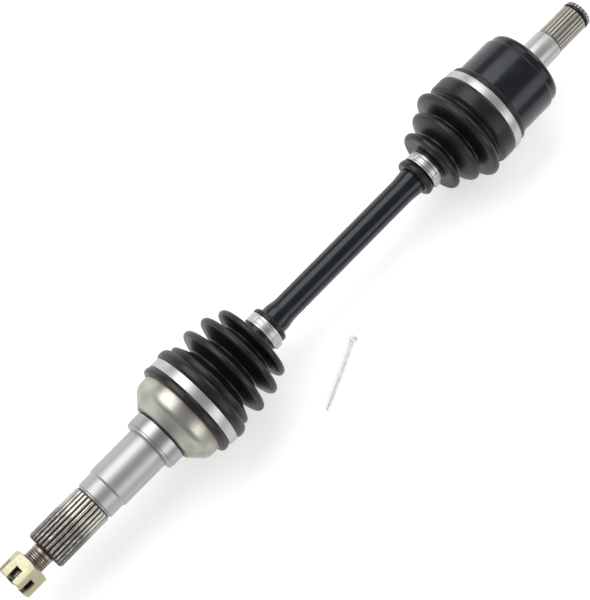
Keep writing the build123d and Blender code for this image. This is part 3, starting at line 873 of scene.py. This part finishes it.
class BuildGearboxStub(bpy.types.Operator):
    """Build the gearbox end: cup, journal, spline and snap rings"""
    bl_idname = "shaft.gearbox_stub"
    bl_label = "Gearbox stub"

    def execute(self, context):
        sizes = stubs()
        start, end, cup_r = low_high("inboard_housing")
        enamel = black_enamel()
        node = "inboard_housing"
        cup = lathe("cup", rounded([
            (start, 0, 0), (start, cup_r - 0.6, 0.3), (start + 0.6, cup_r, 0.3), (CUP_EDGE_X, cup_r, 0.8),
            (399.4, 33.1, 0.3), (399.5, 32.3, 0.2), (404.8, CUP_STEP_R, 1.6), (407.2, 31.0, 1.6),
            (CUP_BACK_X, 28.5, 0.8), (CUP_BACK_X, 13.4, 0.4), (CUP_BACK_X + 0.4, JOURNAL_R + 0.05, 0.2),
            (CUP_BACK_X + 0.4, 0, 0),
        ], steps=6, closed=False), enamel, closed=False)
        fit(hollow_cup(cup, start), node)

        journal = lathe("gear_journal", rounded([
            (408.3, 0, 0), (408.3, JOURNAL_R, 0.1), (433.2, JOURNAL_R, 0.4), (GEAR_SPLINE_START_X, 10.6, 0.3),
            (435.2, 0, 0),
        ], closed=False), turned_steel("gear_journal_steel", (0.47, 0.47, 0.465), 0.3), closed=False)
        fit(journal, node)

        toothed = gear_spline_steel()
        groove_start, groove_end = CIRCLIP_GROOVE_X
        core = lathe("gear_spline_core", rounded([
            (GEAR_SPLINE_START_X, 0, 0), (GEAR_SPLINE_START_X, GEAR_ROOT_R, 0),
            (groove_start, GEAR_ROOT_R, 0.1), (groove_start, CIRCLIP_GROOVE_R, 0),
            (groove_end, CIRCLIP_GROOVE_R, 0), (groove_end, GEAR_ROOT_R, 0.1),
            (end - 1.0, GEAR_ROOT_R, 0.3), (end, 9.8, 0.2), (end, 0, 0),
        ], closed=False), toothed, closed=False)
        fit(core, node)
        copies = []
        for x0, x1, lead in (
            (GEAR_SPLINE_START_X - 0.4, groove_start, 1.0), (groove_end, end - 0.2, 0.8),
        ):
            one = tooth("gear_tooth", x0, x1, GEAR_ROOT_R, GEAR_TIP_R, 1.3, 1.06, lead, toothed)
            copies.append(grow(one, teeth_tree(), Count=sizes.gear_teeth, Material=toothed))
        teeth = join_meshes("gear_spline_teeth", copies, toothed)
        fit(smooth(teeth, 40), node)

        spring = plain_metal("snap_ring_steel", (0.045, 0.045, 0.048), 0.38)
        for ring in ("gearbox_circlip", "inboard_stop_ring", "outboard_race_circlip", "inboard_race_circlip"):
            piece = cad_copy(f"{ring}_piece", ring, spring, soften=0.22)
            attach(piece, body_of_node(ring))
        return {"FINISHED"}


def hollow_cup(cup, start):
    """Cut the bore with its stop ring groove and six straight ball grooves out of the cup."""
    enamel = cup.data.materials[0]
    groove_start, groove_end = STOP_GROOVE_X
    carve(cup, lathe("bore_tool", [
        (start - 1, 0), (start - 1, 29.2), (start + 2.6, CUP_BORE_R), (groove_start, CUP_BORE_R),
        (groove_start, STOP_GROOVE_R), (groove_end, STOP_GROOVE_R), (groove_end, CUP_BORE_R),
        (396.0, CUP_BORE_R), (401.0, 20.0), (401.0, 0),
    ], enamel, around=96, closed=False))
    for number in range(BALLS):
        groove = lathe("groove_tool", [
            (start - 1, 0), (start - 1, IN_TRACK_R), (398.5, IN_TRACK_R), (398.5, 0),
        ], enamel, around=32, closed=False)
        turn = 2 * pi * (number + 0.5) / BALLS
        place = (0, -IN_PITCH_R * sin(turn) * MM, IN_PITCH_R * cos(turn) * MM)
        groove.data.transform(Matrix.Translation(place))
        carve(cup, groove)
    return cup


class BuildBar(bpy.types.Operator):
    """Build the painted bar with its shoulders and snap ring grooves"""
    bl_idname = "shaft.bar"
    bl_label = "Bar"

    def execute(self, context):
        start, end, _ = low_high("bar")
        bar = lathe("shaft_bar", rounded([
            (start, 0, 0), (start, 8.7, 0.3), (start + 0.8, BAR_SPLINE_R, 0.2), (30.8, BAR_SPLINE_R, 0),
            (30.8, RING_GROOVE_R, 0), (32.4, RING_GROOVE_R, 0), (32.4, 9.6, 0), (55.5, 9.6, 0),
            (56.1, BAR_R, 0.2), (106, BAR_R, 1.5), (109, OUT_COLLAR_R, 1.5), (135.0, OUT_COLLAR_R, 2.2),
            (141.2, BAR_R, 3.0), (268.6, BAR_R, 4.0), (278.7, IN_COLLAR_R, 2.0), (299, IN_COLLAR_R, 1.0),
            (302, BAR_R, 1.0), (362.9, BAR_R, 0.2), (363.5, 9.6, 0), (386.6, 9.6, 0),
            (386.6, RING_GROOVE_R, 0), (388.2, RING_GROOVE_R, 0), (388.2, BAR_SPLINE_R, 0),
            (388.6, BAR_SPLINE_R, 0.1), (end, RING_GROOVE_R, 0.2), (end, 0, 0),
        ], steps=6, closed=False), black_enamel(), closed=False)
        fit(bar, "bar")
        return {"FINISHED"}


class BuildBoots(bpy.types.Operator):
    """Build both ribbed boots as rings cut across the axle"""
    bl_idname = "shaft.boots"
    bl_label = "Boots"

    def execute(self, context):
        rubber = boot_rubber()
        wall = boots().wall
        lip, neck_end, bead_r = low_high("outboard_boot")
        outer = rounded([
            (lip, OUT_LIP_BORE_R, 0), (lip, 39.4, 0.7), (36.9, OUT_CUFF_R, 1.2), (40.2, OUT_CUFF_R, 1.4),
            (42.1, 39.9, 0.4), (42.2, OUT_CLAMP_SEAT_R, 0.2), (50.1, OUT_CLAMP_SEAT_R, 0.2),
            (50.3, 40.5, 0.5), (52.4, bead_r, 1.6), (55.8, bead_r, 2.0), (58.8, 40.4, 1.6),
            (59.7, 37.4, 0.9), (59.9, 37.0, 0),
        ], steps=6, closed=False) + folds(OUT_FOLDS)[1:] + rounded([
            (114.2, OUT_NECK_R, 0), (124.2, OUT_NECK_R, 0.2), (124.4, 15.0, 0.3), (125.0, 15.3, 0.5),
            (127.2, 15.3, 0.8), (neck_end, 14.1, 0.5), (neck_end, OUT_NECK_BORE_R, 0),
        ], closed=False)
        inner = [(lip, OUT_LIP_BORE_R), (BELL_FACE_X, OUT_LIP_BORE_R), (59.6, 36.0)]
        inner += folds(OUT_FOLDS, wall)
        inner += [(113.6, OUT_NECK_BORE_R), (neck_end, OUT_NECK_BORE_R)]
        boot("outboard_boot", "outboard_boot", outer, inner, OUT_BENDS,
             rubber)

        neck_end, lip, _ = low_high("inboard_boot")
        outer = rounded([
            (neck_end, IN_NECK_BORE_R, 0), (neck_end, 14.4, 0.6), (282.2, 15.9, 0.9), (284.4, 16.0, 1.0),
            (286.8, 15.3, 0.8), (287.8, IN_NECK_R, 0.4), (290, IN_NECK_R, 0),
        ], steps=5, closed=False) + folds(IN_FOLDS) + rounded([
            (341.9, 37.8, 0), (342.6, IN_CUFF_R, 0.4), (352.4, IN_CUFF_R, 0.9), (353.8, 37.2, 0.5),
            (353.9, IN_CLAMP_SEAT_R, 0.1), (365.1, IN_CLAMP_SEAT_R, 0.5), (lip, 35.6, 0.3),
            (lip, IN_LIP_BORE_R, 0),
        ], steps=5, closed=False)
        inner = [(neck_end, IN_NECK_BORE_R), (296.0, IN_NECK_BORE_R)]
        inner += folds(IN_FOLDS, wall - IN_WALL_LESS)
        inner += [(342.95, 36.0), (343.0, IN_LIP_BORE_R), (lip, IN_LIP_BORE_R)]
        boot("inboard_boot", "inboard_boot", outer, inner, IN_BENDS,
             rubber)
        return {"FINISHED"}


def pad_swell(x0, x1, band_r):
    """Raised outline of a rounded rectangle pressed into a clamp band, on the side that faces up."""
    middle = (x0 + x1) / 2
    half_x, half_s, corner = (x1 - x0) / 2 - 1.9, band_r * 0.76, 1.2

    def swell(x, r, turn):
        if r < band_r - 0.5:
            return 0
        arc = (turn if turn < pi else turn - 2 * pi) * band_r
        qx, qs = abs(x - middle) - half_x + corner, abs(arc) - half_s + corner
        edge = hypot(max(qx, 0), max(qs, 0)) + min(max(qx, qs), 0) - corner
        near = max(0.0, 1 - abs(edge) / 0.8)
        return -0.26 * near * near * (3 - 2 * near)
    return swell


def ear(name, x0, x1, band_r, height, width, material):
    """Crimped ear of a clamp: a small bridge that stands off the band on the -Y side."""
    steps, thick, sunk, edge = 10, 0.55, 0.15, 0.25
    rows = []
    for x in (x0, x0 + edge, x1 - edge, x1):
        pinch = 0.12 if x in (x0, x1) else 0.0
        outside, inside = [], []
        for s in range(steps + 1):
            a = pi * s / steps
            side = cos(a) * width / 2
            lift = sin(a) ** 0.8 * height
            base = sqrt(band_r**2 - side**2) - sunk
            low = max(lift - thick, -0.2)
            outside.append((x, -(base + lift - pinch), side * (1 - 0.1 * sin(a))))
            inside.append((x, -(base + low), side * 0.82))
        rows.append(outside + inside[::-1])
    return skin(name, rows, material, folded=True)


EAR_INSET = 1.4          # from the band's edge to the ear


class BuildClamps(bpy.types.Operator):
    """Build the four boot clamps with their crimped ears"""
    bl_idname = "shaft.clamps"
    bl_label = "Clamps"

    def execute(self, context):
        steel = band_steel()
        for node, seat_r, ear_height, ear_width, pressed in (
            ("outboard_large_clamp", OUT_CLAMP_SEAT_R, 0.85, 6.0, False),
            ("outboard_small_clamp", OUT_NECK_R + 0.1, 1.8, 5.0, True),
            ("inboard_small_clamp", IN_NECK_R + 0.1, 1.5, 5.0, True),
            ("inboard_large_clamp", IN_CLAMP_SEAT_R, 0.85, 6.0, False),
        ):
            start, end, band_r = low_high(node)
            rows = 48 if pressed else 1
            across = [start + (end - start) * k / rows for k in range(rows + 1)]
            outline = [(start, seat_r, 0.1)]
            outline += [(x, band_r, 0.35 if x in (start, end) else 0) for x in across]
            outline.append((end, seat_r, 0.1))
            band = lathe(f"{node}_band", rounded(outline), steel, around=336 if pressed else 224,
                         swell=pad_swell(start, end, band_r) if pressed else None)
            crimp = ear(f"{node}_ear", start + EAR_INSET, end - EAR_INSET, band_r, ear_height, ear_width,
                        steel)
            whole = smooth(join_meshes(f"{node}_piece", [band, crimp], steel))
            fit(whole, node)
        return {"FINISHED"}


class BuildNutAndPin(bpy.types.Operator):
    """Build the castle nut and the loose split pin"""
    bl_idname = "shaft.nut_and_pin"
    bl_label = "Nut and pin"

    def execute(self, context):
        zinc = plain_metal("grey_zinc", (0.86, 0.87, 0.87), 0.4)
        nut = cad_copy("castle_nut_piece", "castle_nut", yellow_zinc(), soften=0.4)
        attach(nut, "castle_nut")
        pin = cad_copy("cotter_pin_piece", "cotter_pin", zinc, soften=0.12)
        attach(pin, "cotter_pin")
        return {"FINISHED"}


class DressJoints(bpy.types.Operator):
    """Give the balls, cages and races inside the joints their finishes"""
    bl_idname = "shaft.joints"
    bl_label = "Inner joint pieces"

    def execute(self, context):
        ball = plain_metal("polished_ball_steel", (0.66, 0.66, 0.67), 0.16, 90)
        race = turned_steel("race_steel", (0.5, 0.49, 0.48), 0.3)
        cage = plain_metal("phosphated_cage_steel", (0.2, 0.2, 0.205), 0.42, 300)
        for body, nodes in frame["record"]["behaviour"]["bodies"].items():
            for node in nodes:
                for word, steel in (("_ball_", ball), ("inner_race", race), ("_cage", cage)):
                    if word in node:
                        piece = cad_copy(f"{node}_piece", node, steel)
                        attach(piece, body)
        return {"FINISHED"}


MIDDLE = (0.16, 0, 0)    # the axle's middle, in metres


def soft_light(name, place, aim, size, power):
    """A rectangular light; places and sizes are in metres."""
    lamp = bpy.data.lights.new(name, "AREA")
    lamp.shape = "RECTANGLE"
    lamp.size, lamp.size_y = size
    lamp.energy = power
    holder = bpy.data.objects.new(name, lamp)
    holder.location = place
    holder.rotation_euler = (Vector(aim) - Vector(place)).to_track_quat("-Z", "Y").to_euler()
    bpy.context.scene.collection.objects.link(holder)


class SetStage(bpy.types.Operator):
    """Set the floor, the lights and the camera"""
    bl_idname = "shaft.stage"
    bl_label = "Stage"

    def execute(self, context):
        floor_z = CAD_BOX[0][2] - 0.0001
        build = bmesh.new()
        bmesh.ops.create_grid(build, x_segments=1, y_segments=1, size=6)
        mesh = to_mesh("floor", build)
        mesh.transform(Matrix.Translation((MIDDLE[0], 0, floor_z)))
        paper = Finish("white_paper", (0.93, 0.93, 0.93), 0.9, specular=0.1)
        paper.shader.inputs["Emission Color"].default_value = (1, 1, 1, 1)
        paper.shader.inputs["Emission Strength"].default_value = 0.3
        new_object("floor", mesh, paper.material)

        world = bpy.data.worlds.new("studio")
        context.scene.world = world
        world.use_nodes = True
        background = world.node_tree.nodes["Background"]
        background.inputs["Color"].default_value = (1, 1, 1, 1)
        background.inputs["Strength"].default_value = 0.36
        soft_light("key", (0.1, 0.75, 0.75), MIDDLE, (1.6, 0.8), 12)
        soft_light("fill", (0.2, -0.95, 0.7), MIDDLE, (1.6, 0.6), 6)
        soft_light("end", (1.3, 0.1, 0.6), (0.2, 0, 0), (0.6, 0.5), 3)
        context.scene.view_settings.view_transform = "Standard"
        context.scene.camera = view_down(context)
        return {"FINISHED"}


def view_down(context):
    """A camera that looks down on the axle, from a little towards its gearbox end."""
    lean, turn = radians(12.3), radians(45.27)
    distance = 1.5419
    target = Vector((0.1595, 0, 0))
    along = Vector((cos(lean), 0, sin(lean)))
    down = Vector((0, -1, 0))
    ahead = Vector((sin(lean), 0, -cos(lean)))
    aim = (ahead - along * 0.0044048 + down * 0.0003571).normalized()
    right = along * cos(turn) + down * sin(turn)
    right = (right - aim * right.dot(aim)).normalized()
    up = right.cross(aim)
    lens = bpy.data.cameras.new("camera")
    lens.sensor_width = 36
    lens.lens = 126
    lens.clip_start = 0.01
    camera = bpy.data.objects.new("camera", lens)
    axes = Matrix((right, up, -aim)).transposed().to_4x4()
    camera.matrix_world = Matrix.Translation(target - ahead * distance) @ axes
    context.scene.collection.objects.link(camera)
    return camera


class ShaftPanel(bpy.types.Panel):
    """Lists the builders in the sidebar"""
    bl_idname = "VIEW3D_PT_drive_shaft"
    bl_label = "Drive Shaft"
    bl_space_type = "VIEW_3D"
    bl_region_type = "UI"
    bl_category = "Drive Shaft"

    def draw(self, context):
        for builder in BUILDERS:
            self.layout.operator(builder.bl_idname)
        for settings in SETTINGS:
            sizes = getattr(context.scene, settings)
            for name in sizes.__annotations__:
                self.layout.prop(sizes, name)


SETTINGS = {"boot_sizes": BootSizes, "stub_sizes": StubSizes, "finish_colours": FinishColours}
BUILDERS = [
    SetStage, BuildWheelStub, BuildGearboxStub, BuildBar, BuildBoots, BuildClamps, BuildNutAndPin,
    DressJoints,
]


def register():
    for kind in [*SETTINGS.values(), *BUILDERS, ShaftPanel]:
        bpy.utils.register_class(kind)
    for name, group in SETTINGS.items():
        setattr(bpy.types.Scene, name, bpy.props.PointerProperty(type=group))


def unregister():
    for name in SETTINGS:
        delattr(bpy.types.Scene, name)
    for kind in reversed([*SETTINGS.values(), *BUILDERS, ShaftPanel]):
        bpy.utils.unregister_class(kind)


def main():
    register()
    for builder in BUILDERS:
        family, name = builder.bl_idname.split(".")
        getattr(getattr(bpy.ops, family), name)()


if __name__ == "__main__":
    main()
